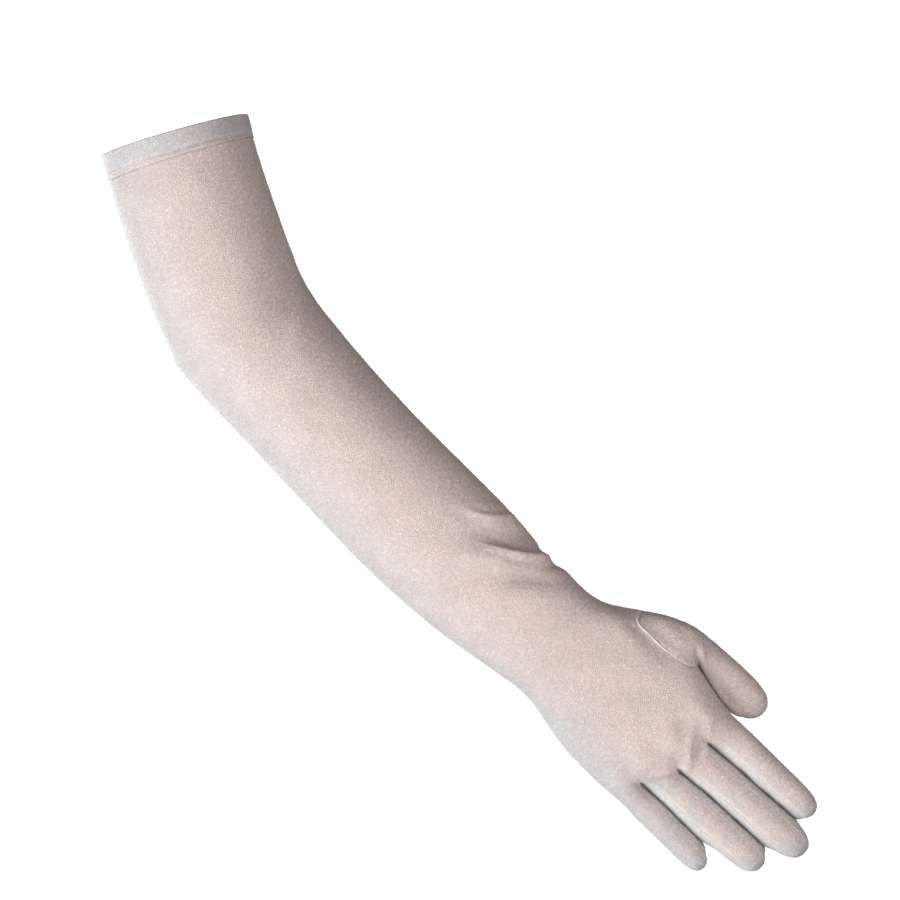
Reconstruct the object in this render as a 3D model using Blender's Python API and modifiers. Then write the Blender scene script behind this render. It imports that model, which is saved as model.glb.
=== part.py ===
"""Right-hand opera glove of fine see-through mesh, in the shape that it has when it is worn.

Metres, +Z up. The glove hangs from its arm opening: forearm, hand and fingers run down along -Z,
the upper arm leans towards +X, the thumb's side, and the back of the hand faces -Y. The origin is
the centre of the arm opening.

The whole glove is worked out as one smooth skin from a coarse cage, creased by a table of folds,
and then cut along its seams into the pieces that it is sewn from. Each piece gets its cloth as a
wall inside the skin. The cloth of the back, and that of the palm side, runs on from the sleeve to
the fingertips without a seam, and is modelled as two solids that part at the wrist.
"""

import math
from collections import namedtuple

import bmesh
import bpy
from mathutils import Vector

# Arm
UPPER_ARM_LENGTH = 0.113
ELBOW_BEND = math.radians(25.5)
FOREARM_LENGTH = 0.246
ARM_WIDTH = 0.083
ARM_DEPTH = 0.080

# Hand
PALM_LENGTH = 0.096
PALM_WIDTH = 0.0835
PALM_DEPTH = 0.034

# Fingers and thumb
FINGER_LENGTH = 0.082
FINGER_WIDTH = 0.0195
FINGER_DEPTH = 0.0175
FINGER_CURL = 0.007
THUMB_LENGTH = 0.068
THUMB_WIDTH = 0.0208
THUMB_DEPTH = 0.0185
THUMB_SET_BACK = 0.012

# Cloth
CLOTH = 0.001
HEM_CLOTH = 0.002
HEM_PROUD = 0.0004
HEM_HEIGHT = 0.010
FOLD_RISE = 0.003
CLEARANCE = 0.0003

# Two sewn edges lean towards each other, because each wall stands square to its own last faces.
# The seam opens by this much more than the lean takes.
SEAM_EASE = 1.15

COLLECTION = "mesh_opera_glove"
SKIN_LEVELS = 1
FINGER_COUNT = 4
BACK_POINTS = 9
FINGER_SIDES = 8

# A cross-section of the sleeve or the hand.
# leg: the stretch it lies on. down: share of that stretch's length. side: shift towards the thumb,
# as a share of the stretch's width. width and depth: shares of the stretch's width and depth.
# shift: move towards the palm, as a share of the depth. bend: tilt of the section's plane, as a
# share of the elbow's bend. spread: 0 spaces the points evenly, 1 spaces them by the fingers.
# square: 2 is an ellipse, and more is boxier.
Section = namedtuple("Section", "leg down side width depth shift bend spread square")
SECTIONS = (
    Section("upper", 0.00, 0.000, 1.000, 0.970, 0.00, 1.13, 0.0, 2.1),
    Section("upper", HEM_HEIGHT / UPPER_ARM_LENGTH, -0.010, 1.002, 0.970, 0.00, 1.10, 0.0, 2.1),
    Section("upper", 0.30, -0.030, 1.006, 0.975, 0.00, 1.00, 0.0, 2.1),
    Section("upper", 0.87, -0.032, 1.010, 0.960, 0.00, 0.85, 0.0, 2.1),
    Section("fore", 0.035, -0.018, 1.005, 0.950, 0.00, 0.48, 0.0, 2.1),
    Section("fore", 0.13, -0.028, 0.962, 0.935, 0.00, 0.16, 0.0, 2.1),
    Section("fore", 0.25, -0.048, 0.937, 0.910, 0.00, 0.03, 0.0, 2.1),
    Section("fore", 0.40, -0.066, 0.935, 0.860, 0.00, 0.00, 0.0, 2.1),
    Section("fore", 0.54, -0.070, 0.946, 0.790, 0.00, 0.00, 0.0, 2.1),
    Section("fore", 0.64, -0.066, 0.942, 0.730, 0.00, 0.00, 0.0, 2.1),
    Section("fore", 0.70, -0.060, 0.930, 0.690, 0.00, 0.00, 0.1, 2.1),
    Section("fore", 0.75, -0.057, 0.914, 0.660, 0.00, 0.00, 0.2, 2.1),
    Section("fore", 0.80, -0.056, 0.886, 0.630, 0.00, 0.00, 0.3, 2.1),
    Section("fore", 0.85, -0.056, 0.838, 0.605, 0.00, 0.00, 0.4, 2.15),
    Section("fore", 0.90, -0.028, 0.846, 0.590, 0.00, 0.00, 0.5, 2.2),
    Section("fore", 0.96, -0.020, 0.806, 0.570, 0.00, 0.00, 0.7, 2.25),
    Section("palm", 0.04, 0.018, 0.815, 1.300, 0.02, 0.00, 0.9, 2.3),
    Section("palm", 0.19, 0.076, 0.980, 1.260, 0.06, 0.00, 1.0, 2.4),
    Section("palm", 0.40, 0.037, 1.015, 1.180, 0.08, 0.00, 1.0, 2.5),
    Section("palm", 0.61, 0.052, 1.060, 1.040, 0.05, 0.00, 1.0, 2.5),
    Section("palm", 0.79, 0.028, 1.000, 0.920, 0.02, 0.00, 1.0, 2.5),
)
HAND_TOP = next(index for index, row in enumerate(SECTIONS) if row.leg == "palm")
THUMB_HOLE_TOP = HAND_TOP + 1

# The last section of the hand, at the roots of the fingers. centre and width: shares of the
# palm's width. depth: share of the palm's depth. square: as in a section.
Roots = namedtuple("Roots", "centre width depth square")
ROOTS = Roots(0.022, 0.945, 0.800, 2.4)

# Its points on the back. across: share of the hand's width, from the little finger's edge, which
# the sections above it follow too. down: share of the palm's length. Every second one is a crotch
# between two fingers.
RootPoint = namedtuple("RootPoint", "place across down")
ROOT_POINTS = (
    RootPoint("outer side of little", 0.060, 0.905),
    RootPoint("middle of little", 0.125, 0.875),
    RootPoint("little and ring", 0.205, 0.845),
    RootPoint("middle of ring", 0.325, 0.925),
    RootPoint("ring and middle", 0.452, 0.974),
    RootPoint("middle of middle", 0.585, 0.990),
    RootPoint("middle and index", 0.722, 0.970),
    RootPoint("middle of index", 0.835, 0.980),
    RootPoint("outer side of index", 0.930, 0.970),
)

# root and tip: the finger's middle line, as shares of the palm's width from the arm's line.
# reach: how far the tip lies below the palm's end, as a share of the finger's length.
# widths: from the root to the third ring, evenly spaced, as shares of the finger's width.
Finger = namedtuple("Finger", "name root tip reach widths")
FINGERS = (
    Finger("little", -0.353, -0.362, 0.587, (0.84, 0.82, 0.75)),
    Finger("ring", -0.140, -0.094, 0.860, (0.88, 0.95, 0.97)),
    Finger("middle", 0.108, 0.177, 1.000, (0.93, 1.02, 1.06)),
    Finger("index", 0.376, 0.400, 0.857, (0.98, 0.92, 0.87)),
)

# A ring of points round a finger. down: share of its length. swell: share of the width read from
# the finger's own widths.
FingerRing = namedtuple("FingerRing", "down swell")
FINGER_RINGS = (
    FingerRing(0.13, 1.00),
    FingerRing(0.38, 1.00),
    FingerRing(0.64, 1.00),
    FingerRing(0.86, 0.98),
    FingerRing(0.975, 0.72),
)
FINGER_TIP = 1.035

# A ring of points round the thumb. out and down: from the hole's middle, as shares of the thumb's
# length. tilt: turn of the ring's plane, 90 where it lies in the hole and 0 where it is level.
# set_back: share of the thumb's own set-back towards the palm. width and depth: shares.
ThumbRing = namedtuple("ThumbRing", "out down tilt set_back width depth")
THUMB_RINGS = (
    ThumbRing(0.135, 0.190, 66.0, 0.50, 1.18, 1.20),
    ThumbRing(0.120, 0.345, 42.0, 0.78, 1.05, 1.08),
    ThumbRing(0.116, 0.525, 16.0, 0.95, 0.96, 1.00),
    ThumbRing(0.106, 0.755, 3.0, 1.00, 1.09, 0.97),
    ThumbRing(0.110, 0.970, 0.0, 1.03, 0.92, 0.80),
)
THUMB_TIP = ThumbRing(0.120, 1.085, 0.0, 1.05, 0.0, 0.0)

# A fold, crease or swelling that the cloth takes. side: back or palm. leg, down and across: its
# middle, as in a section. turn: degrees from the leg's line towards the thumb. length and width:
# shares of the leg's width. rise: share of the fold's rise, below zero for a valley.
Fold = namedtuple("Fold", "name side leg down across turn length width rise")
FOLDS = (
    Fold("wrist fold", "back", "fore", 0.786, 0.170, 42.0, 0.32, 0.070, 1.10),
    Fold("wrist fold", "back", "fore", 0.735, 0.270, 38.0, 0.26, 0.070, -0.90),
    Fold("wrist fold", "back", "fore", 0.690, 0.290, 34.0, 0.22, 0.070, 0.80),
    Fold("wrist fold", "back", "fore", 0.850, 0.215, 42.0, 0.22, 0.065, -1.00),
    Fold("elbow dent", "back", "fore", 0.010, -0.330, 20.0, 0.18, 0.090, -0.70),
    Fold("elbow dent", "back", "upper", 0.940, 0.300, -40.0, 0.24, 0.080, -0.70),
    Fold("palm hollow", "palm", "palm", 0.560, -0.020, 10.0, 0.34, 0.220, -1.50),
    Fold("thumb ball", "palm", "palm", 0.330, 0.260, 20.0, 0.30, 0.170, 1.10),
    Fold("little knuckle", "back", "palm", 0.790, -0.350, 0.0, 0.11, 0.075, 0.60),
    Fold("ring knuckle", "back", "palm", 0.830, -0.130, 0.0, 0.12, 0.085, 0.75),
    Fold("middle knuckle", "back", "palm", 0.850, 0.100, 0.0, 0.12, 0.085, 0.85),
    Fold("index knuckle", "back", "palm", 0.840, 0.360, 0.0, 0.12, 0.085, 0.75),
    Fold("root crease", "back", "palm", 0.970, 0.050, 55.0, 0.13, 0.050, -0.60),
    Fold("root crease", "back", "palm", 0.930, -0.190, -50.0, 0.13, 0.050, -0.55),
)

Piece = namedtuple("Piece", "name cloth proud colour roughness")
MESH_COLOUR = (0.62, 0.55, 0.52, 1.0)
STRIP_COLOUR = (0.66, 0.62, 0.59, 1.0)
HEM_COLOUR = (0.55, 0.54, 0.53, 1.0)
PIECES = (
    Piece("cuff_hem", HEM_CLOTH, HEM_PROUD, HEM_COLOUR, 0.60),
    Piece("sleeve_back", CLOTH, 0.0, MESH_COLOUR, 0.65),
    Piece("sleeve_palm", CLOTH, 0.0, MESH_COLOUR, 0.65),
    Piece("hand_back", CLOTH, 0.0, MESH_COLOUR, 0.65),
    Piece("hand_palm", CLOTH, 0.0, MESH_COLOUR, 0.65),
    Piece("thumb_back", CLOTH, 0.0, MESH_COLOUR, 0.65),
    Piece("thumb_palm", CLOTH, 0.0, MESH_COLOUR, 0.65),
    Piece("fourchette_little_ring", CLOTH, 0.0, STRIP_COLOUR, 0.65),
    Piece("fourchette_ring_middle", CLOTH, 0.0, STRIP_COLOUR, 0.65),
    Piece("fourchette_middle_index", CLOTH, 0.0, STRIP_COLOUR, 0.65),
)
HEM, SLEEVE_BACK, SLEEVE_PALM, HAND_BACK, HAND_PALM = range(5)
THUMB_BACK, THUMB_PALM, FIRST_FOURCHETTE = range(5, 8)
THUMB_COLUMNS = (THUMB_BACK,) * 2 + (THUMB_PALM,) * 4 + (THUMB_BACK,) * 2


def leg_frame(leg):
    """Start, direction, direction towards the thumb, length, width and depth of a stretch."""
    lean = Vector((-math.sin(ELBOW_BEND), 0.0, -math.cos(ELBOW_BEND)))
    elbow = lean * UPPER_ARM_LENGTH
    wrist = elbow + Vector((0.0, 0.0, -FOREARM_LENGTH))
    down = Vector((0.0, 0.0, -1.0))
    side = Vector((1.0, 0.0, 0.0))
    if leg == "upper":
        across = Vector((math.cos(ELBOW_BEND), 0.0, -math.sin(ELBOW_BEND)))
        return Vector((0.0, 0.0, 0.0)), lean, across, UPPER_ARM_LENGTH, ARM_WIDTH, ARM_DEPTH
    if leg == "fore":
        return elbow, down, side, FOREARM_LENGTH, ARM_WIDTH, ARM_DEPTH
    return wrist, down, side, PALM_LENGTH, PALM_WIDTH, PALM_DEPTH


def leg_point(leg, down, across):
    """The point at these shares of a stretch's length and width."""
    start, along, side, length, width, _ = leg_frame(leg)
    return start + along * (down * length) + side * (across * width)


def cage_growth(sides):
    """How much larger a ring of the cage is than the smooth ring that it makes."""
    return 3.0 / (2.0 + math.cos(2.0 * math.pi / sides))


def across_shares(spread):
    """Places of the back's points across a section, from the little finger's edge."""
    shares = []
    for index in range(BACK_POINTS):
        even = 0.5 - 0.5 * math.cos(math.pi * (index + 1) / (BACK_POINTS + 1))
        shares.append(even + (ROOT_POINTS[index].across - even) * spread)
    return shares


def half_depth(share, depth, square):
    """Half the section's depth at a share of its width."""
    reach = abs(2.0 * share - 1.0)
    return 0.5 * depth * (1.0 - reach**square) ** (1.0 / square)


def section_ring(row):
    """The cage's points round one section: back, thumb's edge, palm, little finger's edge."""
    _, _, _, _, leg_width, leg_depth = leg_frame(row.leg)
    growth = cage_growth(2 * BACK_POINTS + 2)
    centre = leg_point(row.leg, row.down, row.side)
    centre.y = row.shift * leg_depth
    tilt = row.bend * ELBOW_BEND
    sideways = Vector((math.cos(tilt), 0.0, -math.sin(tilt)))
    width = row.width * leg_width * growth
    depth = row.depth * leg_depth * growth
    back = []
    palm = []
    for share in across_shares(row.spread):
        on_line = centre + sideways * ((share - 0.5) * width)
        half = Vector((0.0, half_depth(share, depth, row.square), 0.0))
        back.append(on_line - half)
        palm.append(on_line + half)
    thumb_edge = centre + sideways * (0.5 * width)
    little_edge = centre - sideways * (0.5 * width)
    return back + [thumb_edge] + palm[::-1] + [little_edge]


def root_ring():
    """The hand's last ring, whose points lie as deep as the crotches and knuckles do."""
    growth = cage_growth(2 * BACK_POINTS + 2)
    width = ROOTS.width * PALM_WIDTH * growth
    depth = ROOTS.depth * PALM_DEPTH * growth
    back = []
    palm = []
    for row in ROOT_POINTS:
        on_line = leg_point("palm", row.down, ROOTS.centre)
        on_line.x += (row.across - 0.5) * width
        half = Vector((0.0, half_depth(row.across, depth, ROOTS.square), 0.0))
        back.append(on_line - half)
        palm.append(on_line + half)
    thumb_edge = leg_point("palm", ROOT_POINTS[-1].down, ROOTS.centre)
    thumb_edge.x += 0.5 * width
    little_edge = leg_point("palm", ROOT_POINTS[0].down, ROOTS.centre)
    little_edge.x -= 0.5 * width
    return back + [thumb_edge] + palm[::-1] + [little_edge]


def finger_share(finger, down):
    """A finger's width at a share of its length, as a share of the fingers' width."""
    last = len(finger.widths) - 1
    position = min(down / FINGER_RINGS[last].down, 1.0) * last
    first = min(int(position), last - 1)
    start, end = finger.widths[first : first + 2]
    return start + (end - start) * (position - first)


def finger_ring(finger, ring, root_down):
    """The cage's points round one finger: three of the back, a side, three of the palm, a side."""
    tip_down = PALM_LENGTH + finger.reach * FINGER_LENGTH
    start_down = root_down * PALM_LENGTH
    share = finger_share(finger, ring.down) * ring.swell
    radius = 0.5 * share * FINGER_WIDTH * cage_growth(FINGER_SIDES)
    deep = radius * FINGER_DEPTH / FINGER_WIDTH
    across = finger.root + (finger.tip - finger.root) * ring.down
    centre = leg_point("palm", 0.0, across)
    centre.z -= start_down + (tip_down - start_down) * ring.down
    centre.y = FINGER_CURL * ring.down**2 * finger.reach
    points = []
    for step in (3, 2, 1, 0, -1, -2, -3, 4):
        turn = math.pi / 4.0 * step
        points.append(centre + Vector((radius * math.cos(turn), -deep * math.sin(turn), 0.0)))
    return points


def finger_tip(finger, root_down):
    """The point that closes a finger."""
    tip_down = PALM_LENGTH + finger.reach * FINGER_LENGTH
    start_down = root_down * PALM_LENGTH
    point = leg_point("palm", 0.0, finger.tip)
    point.z -= start_down + (tip_down - start_down) * FINGER_TIP
    point.y = FINGER_CURL * finger.reach * FINGER_TIP**2
    return point


def thumb_ring(ring):
    """The cage's points round the thumb, from its back side over its outer side to its palm side."""
    middle = SECTIONS[THUMB_HOLE_TOP + 1]
    centre = leg_point("palm", middle.down, middle.side + 0.5 * middle.width)
    centre.x += ring.out * THUMB_LENGTH
    centre.z -= ring.down * THUMB_LENGTH
    centre.y = ring.set_back * THUMB_SET_BACK
    tilt = math.radians(ring.tilt)
    outer = Vector((math.cos(tilt), 0.0, math.sin(tilt)))
    growth = cage_growth(FINGER_SIDES)
    width = 0.5 * ring.width * THUMB_WIDTH * growth
    depth = 0.5 * ring.depth * THUMB_DEPTH * growth
    points = []
    for step in range(FINGER_SIDES):
        turn = math.pi / 4.0 * (step - 2)
        point = centre + outer * (width * math.cos(turn))
        points.append(point + Vector((0.0, depth * math.sin(turn), 0.0)))
    return points


class Cage:
    """A mesh of quads, each marked with the piece of cloth that it belongs to."""

    def __init__(self):
        self.mesh = bmesh.new()

    def points(self, places):
        return [self.mesh.verts.new(place) for place in places]

    def quad(self, corners, piece):
        self.mesh.faces.new(corners).material_index = piece

    def tube(self, upper, lower, pieces):
        """Quads between two rings, with the piece of each."""
        count = len(upper)
        for index, piece in enumerate(pieces):
            after = (index + 1) % count
            if piece is not None:
                self.quad((upper[index], lower[index], lower[after], upper[after]), piece)


def ring_pieces(index):
    """The piece of each quad round the sleeve or the hand, below the section with this index."""
    if index == 0:
        return [HEM] * (2 * BACK_POINTS + 2)
    back, palm = (SLEEVE_BACK, SLEEVE_PALM) if index < HAND_TOP else (HAND_BACK, HAND_PALM)
    pieces = [back] * BACK_POINTS + [palm] * (BACK_POINTS + 1) + [back]
    if index in (THUMB_HOLE_TOP, THUMB_HOLE_TOP + 1):
        pieces[BACK_POINTS - 1] = None
        pieces[BACK_POINTS] = None
    return pieces


def finger_pieces(number):
    """The piece of each quad round a finger, counted from the little finger."""
    thumb_side = FIRST_FOURCHETTE + number
    little_side = FIRST_FOURCHETTE + number - 1
    pieces = [HAND_BACK, HAND_BACK, thumb_side, thumb_side]
    pieces += [HAND_PALM, HAND_PALM, little_side, little_side]
    if number == FINGER_COUNT - 1:
        pieces[2], pieces[3] = HAND_BACK, HAND_PALM
    if number == 0:
        pieces[6], pieces[7] = HAND_PALM, HAND_BACK
    return pieces


def close_tip(cage, ring, point):
    """Four quads over the end of a finger or thumb whose ring starts at a corner of its back."""
    tip = cage.mesh.verts.new(point)
    return (
        (ring[0], tip, ring[2], ring[1]),
        (ring[2], tip, ring[4], ring[3]),
        (ring[4], tip, ring[6], ring[5]),
        (ring[6], tip, ring[0], ring[7]),
    )


def build_cage():
    """The whole glove as one coarse mesh."""
    cage = Cage()
    rings = [cage.points(section_ring(row)) for row in SECTIONS]
    roots = cage.points(root_ring())
    rings.append(roots)
    for index in range(len(rings) - 1):
        cage.tube(rings[index], rings[index + 1], ring_pieces(index))
    add_fingers(cage, roots)
    add_thumb(cage, rings[THUMB_HOLE_TOP : THUMB_HOLE_TOP + 3])
    unused = [point for point in cage.mesh.verts if not point.link_faces]
    bmesh.ops.delete(cage.mesh, geom=unused, context="VERTS")
    return cage.mesh


def add_fingers(cage, roots):
    """The four fingers below the hand's last ring. Neighbours share the points of their crotch."""
    back = roots[:BACK_POINTS]
    palm = roots[BACK_POINTS + 1 : 2 * BACK_POINTS + 1][::-1]
    middles = [roots[-1]]
    for crotch in range(1, FINGER_COUNT):
        between = (back[2 * crotch].co + palm[2 * crotch].co) / 2.0
        middles.append(cage.mesh.verts.new(between))
    middles.append(roots[BACK_POINTS])
    for number, finger in enumerate(FINGERS):
        first = 2 * number
        root_down = ROOT_POINTS[first + 1].down
        above = back[first : first + 3] + [middles[number + 1]]
        above += palm[first : first + 3][::-1] + [middles[number]]
        pieces = finger_pieces(number)
        for ring in FINGER_RINGS:
            below = cage.points(finger_ring(finger, ring, root_down))
            cage.tube(above, below, pieces)
            above = below
        ring = [above[7]] + above[:7]
        quads = close_tip(cage, ring, finger_tip(finger, root_down))
        for corners, piece in zip(quads, (HAND_BACK, HAND_BACK, HAND_PALM, HAND_PALM)):
            cage.quad(corners, piece)


def add_thumb(cage, hole_rings):
    """The thumb, from the rim of its hole to its tip."""
    top, middle, bottom = hole_rings
    edge = BACK_POINTS
    above = [middle[edge - 1], top[edge - 1], top[edge], top[edge + 1]]
    above += [middle[edge + 1], bottom[edge + 1], bottom[edge], bottom[edge - 1]]
    for ring in THUMB_RINGS:
        below = cage.points(thumb_ring(ring))
        cage.tube(above, below, THUMB_COLUMNS)
        above = below
    tip = thumb_ring(THUMB_TIP)[0]
    for corners, piece in zip(close_tip(cage, above, tip), THUMB_COLUMNS[::2]):
        cage.quad(corners, piece)


def fold_push(point, normal):
    """How far the folds move a point of the skin outwards."""
    push = 0.0
    for fold in FOLDS:
        facing = -normal.y if fold.side == "back" else normal.y
        if facing <= 0.0:
            continue
        _, along, side, _, width, _ = leg_frame(fold.leg)
        turn = math.radians(fold.turn)
        line = along * math.cos(turn) + side * math.sin(turn)
        square = side * math.cos(turn) - along * math.sin(turn)
        offset = point - leg_point(fold.leg, fold.down, fold.across)
        lengthwise = offset.dot(line) / (fold.length * width)
        crosswise = offset.dot(square) / (fold.width * width)
        fade = math.exp(-(lengthwise**2) - crosswise**2)
        push += fold.rise * FOLD_RISE * fade * min(1.0, 2.0 * facing)
    return push


def build_skin(materials):
    """The smooth skin of the whole glove, with its folds, as a mesh marked by piece."""
    mesh = bpy.data.meshes.new("skin")
    cage = build_cage()
    cage.to_mesh(mesh)
    cage.free()
    for material in materials:
        mesh.materials.append(material)
    guide = bpy.data.objects.new("skin_guide", mesh)
    bpy.context.scene.collection.objects.link(guide)
    smooth = guide.modifiers.new("smooth", "SUBSURF")
    smooth.levels = SKIN_LEVELS
    smooth.render_levels = SKIN_LEVELS
    graph = bpy.context.evaluated_depsgraph_get()
    skin = bpy.data.meshes.new_from_object(guide.evaluated_get(graph))
    bpy.data.objects.remove(guide, do_unlink=True)
    pushes = [fold_push(point.co, point.normal) * point.normal for point in skin.vertices]
    for point, push in zip(skin.vertices, pushes):
        point.co += push
    return skin


def facing(faces):
    """The mean direction that some faces look in."""
    total = Vector((0.0, 0.0, 0.0))
    for face in faces:
        total += face.normal
    return total.normalized()


def seam_moves(mesh, piece):
    """How the points of a piece's sewn edges move back from the seam, by half its gap."""
    moves = {}
    for point in mesh.verts:
        own = [face for face in point.link_faces if face.material_index == piece]
        if not own or len(own) == len(point.link_faces):
            continue
        inward = Vector((0.0, 0.0, 0.0))
        for face in own:
            inward += (face.calc_center_median() - point.co).normalized()
        seam = [edge for edge in point.link_edges if is_seam(edge, piece)]
        ends = [edge.other_vert(point).co for edge in seam]
        if len(ends) == 2:
            tangent = (ends[1] - ends[0]).normalized()
            inward -= tangent * inward.dot(tangent)
        others = [face for face in point.link_faces if face.material_index != piece]
        lean = facing(own).angle(facing(others)) / 2.0
        gap = CLEARANCE + 2.0 * SEAM_EASE * CLOTH * math.sin(lean)
        own_normal = facing(own)
        inward -= own_normal * inward.dot(own_normal)
        moves[point] = inward.normalized() * (0.5 * gap)
    return moves


def is_seam(edge, piece):
    """Whether an edge parts this piece from another."""
    marks = {face.material_index for face in edge.link_faces}
    return piece in marks and len(marks) > 1


def cut_piece(skin, index, material, collection):
    """One piece of cloth: its share of the skin, drawn back from the seams, with a wall inside."""
    piece = PIECES[index]
    mesh = bmesh.new()
    mesh.from_mesh(skin)
    for point, move in seam_moves(mesh, index).items():
        point.co += move
    others = [face for face in mesh.faces if face.material_index != index]
    bmesh.ops.delete(mesh, geom=others, context="FACES")
    for face in mesh.faces:
        face.material_index = 0
        face.smooth = True
    data = bpy.data.meshes.new(piece.name)
    mesh.to_mesh(data)
    mesh.free()
    data.materials.append(material)
    result = bpy.data.objects.new(piece.name, data)
    collection.objects.link(result)
    wall = result.modifiers.new("cloth", "SOLIDIFY")
    wall.thickness = piece.cloth
    wall.offset = 2.0 * piece.proud / piece.cloth - 1.0
    return result


def cloth_material(piece):
    """The piece's plain finish."""
    material = bpy.data.materials.new(piece.name)
    material.use_nodes = True
    shader = material.node_tree.nodes["Principled BSDF"]
    shader.inputs["Base Color"].default_value = piece.colour
    shader.inputs["Roughness"].default_value = piece.roughness
    shader.inputs["Metallic"].default_value = 0.0
    return material


def main():
    for item in list(bpy.data.objects):
        bpy.data.objects.remove(item, do_unlink=True)
    collection = bpy.data.collections.new(COLLECTION)
    bpy.context.scene.collection.children.link(collection)
    materials = [cloth_material(piece) for piece in PIECES]
    skin = build_skin(materials)
    for index, material in enumerate(materials):
        cut_piece(skin, index, material, collection)
    bpy.data.meshes.remove(skin)


main()
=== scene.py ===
import math
from collections import namedtuple

import bmesh
import bpy
import numpy as np
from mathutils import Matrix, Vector, kdtree, noise
from mathutils.bvhtree import BVHTree


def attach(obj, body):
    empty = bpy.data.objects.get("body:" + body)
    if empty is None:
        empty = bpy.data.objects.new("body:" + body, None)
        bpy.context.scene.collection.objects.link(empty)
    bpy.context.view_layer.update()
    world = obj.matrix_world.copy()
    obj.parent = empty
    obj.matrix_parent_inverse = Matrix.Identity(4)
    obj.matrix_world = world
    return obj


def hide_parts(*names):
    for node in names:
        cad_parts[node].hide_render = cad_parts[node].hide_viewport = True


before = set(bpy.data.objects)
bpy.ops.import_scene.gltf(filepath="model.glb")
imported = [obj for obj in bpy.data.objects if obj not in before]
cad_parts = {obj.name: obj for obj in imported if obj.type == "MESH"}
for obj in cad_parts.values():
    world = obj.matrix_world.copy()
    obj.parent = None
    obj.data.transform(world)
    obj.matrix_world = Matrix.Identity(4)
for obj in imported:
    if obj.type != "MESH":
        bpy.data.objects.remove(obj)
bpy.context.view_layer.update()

# The back: one length of fine stretch mesh from the hem to the tips of the four fingers.
# It is cut flat and worn stretched. The cloth is a third of a millimetre thick, and lies in
# soft folds over the wrist and at the roots of the fingers. Lengths are in metres.

CLOTH_THICKNESS = 0.00034
SOLID_WALL = 0.001
SOLID_WELD = 0.00002
WRIST_WELD = 0.0006
QUAD_BEND = math.radians(60.0)
QUAD_SKEW = math.radians(80.0)
FINE_LEVELS = 2
SHRINK_ROUNDS = 2
SEAM_EASE_X = -0.0062
SEAM_EASE_Z = -0.3765
SEAM_EASE_MOVE = 0.0026
SEAM_EASE_WIDTH = 0.0090
SEAM_EASE_HEIGHT = 0.0230
SEAM_EASE_DEPTH = 0.0040


def outer_side(node, wall=SOLID_WALL):
    """The outer side of a cloth solid, without its inner side and its rim."""
    side = bmesh.new()
    side.from_mesh(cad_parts[node].data)
    bmesh.ops.remove_doubles(side, verts=side.verts, dist=SOLID_WELD)
    across = [edge for edge in side.edges if abs(edge.calc_length() - wall) < SOLID_WELD]
    waiting = set(side.faces) - {face for edge in across for face in edge.link_faces}
    regions = []
    while waiting:
        front = [waiting.pop()]
        region = set(front)
        while front:
            for edge in front.pop().edges:
                beyond = [face for face in edge.link_faces if face in waiting]
                waiting.difference_update(beyond)
                region.update(beyond)
                front.extend(beyond)
        regions.append(region)
    areas = [sum(face.calc_area() for face in region) for region in regions]
    outer = regions[areas.index(max(areas))]
    rest = [face for face in side.faces if face not in outer]
    bmesh.ops.delete(side, geom=rest, context="FACES")
    return side


def to_quads(shape):
    """Joins a working shape's pairs of triangles into quads."""
    bmesh.ops.join_triangles(
        shape,
        faces=shape.faces,
        angle_face_threshold=QUAD_BEND,
        angle_shape_threshold=QUAD_SKEW,
    )


def smooth_mesh(name, shape):
    """A smooth-shaded mesh from a working shape, which is used up."""
    for face in shape.faces:
        face.smooth = True
    data = bpy.data.meshes.new(name)
    shape.to_mesh(data)
    shape.free()
    return data


def in_scene(name, data):
    """An object in the scene, at the origin."""
    piece = bpy.data.objects.new(name, data)
    bpy.context.scene.collection.objects.link(piece)
    return piece


def eased(places):
    """Places with the thumb's seam drawn a little further over the back of the hand."""
    across = (places[:, 0] - SEAM_EASE_X) / SEAM_EASE_WIDTH
    down = (places[:, 2] - SEAM_EASE_Z) / SEAM_EASE_HEIGHT
    front = np.clip(-places[:, 1] / SEAM_EASE_DEPTH, 0.0, 1.0)
    places[:, 0] -= SEAM_EASE_MOVE * np.exp(-(across**2) - down**4) * front
    return places


def cloth_sheet(name, *nodes):
    """One sheet of quads over the outer sides of some solids, joined where they meet."""
    sheet = bmesh.new()
    for node in nodes:
        side = outer_side(node)
        data = bpy.data.meshes.new(node)
        side.to_mesh(data)
        side.free()
        sheet.from_mesh(data)
        bpy.data.meshes.remove(data)
    rim = [point for point in sheet.verts if point.is_boundary]
    bmesh.ops.remove_doubles(sheet, verts=rim, dist=WRIST_WELD)
    to_quads(sheet)
    data = smooth_mesh(name, sheet)
    data.vertices.foreach_set("co", eased(places_of(data)).ravel())
    return in_scene(name, data)


def lay_flat(piece):
    """Unwraps a sheet into the flat shape it was cut to, in metres, with V up the sleeve."""
    bpy.ops.object.select_all(action="DESELECT")
    piece.select_set(True)
    bpy.context.view_layer.objects.active = piece
    bpy.ops.object.mode_set(mode="EDIT")
    bpy.ops.mesh.select_all(action="SELECT")
    bpy.ops.uv.unwrap(method="ANGLE_BASED", margin=0.0)
    bpy.ops.object.mode_set(mode="OBJECT")
    mesh = piece.data
    layer = mesh.uv_layers.active
    layer.name = "cut"
    flat = np.zeros(2 * len(mesh.loops))
    layer.uv.foreach_get("vector", flat)
    flat = flat.reshape(-1, 2)
    corners = np.array([loop.vertex_index for loop in mesh.loops])
    height = np.array([point.co.z for point in mesh.vertices])[corners]
    flat -= flat.mean(axis=0)
    up = flat.T @ (height - height.mean())
    up /= np.linalg.norm(up)
    flat = flat @ np.array([[up[1], up[0]], [-up[0], up[1]]])
    worn = sum(face.area for face in mesh.polygons)
    flat *= math.sqrt(worn / flat_area(mesh, flat))
    layer.uv.foreach_set("vector", flat.ravel())
    return flat.max(axis=0) - flat.min(axis=0), worn


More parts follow.
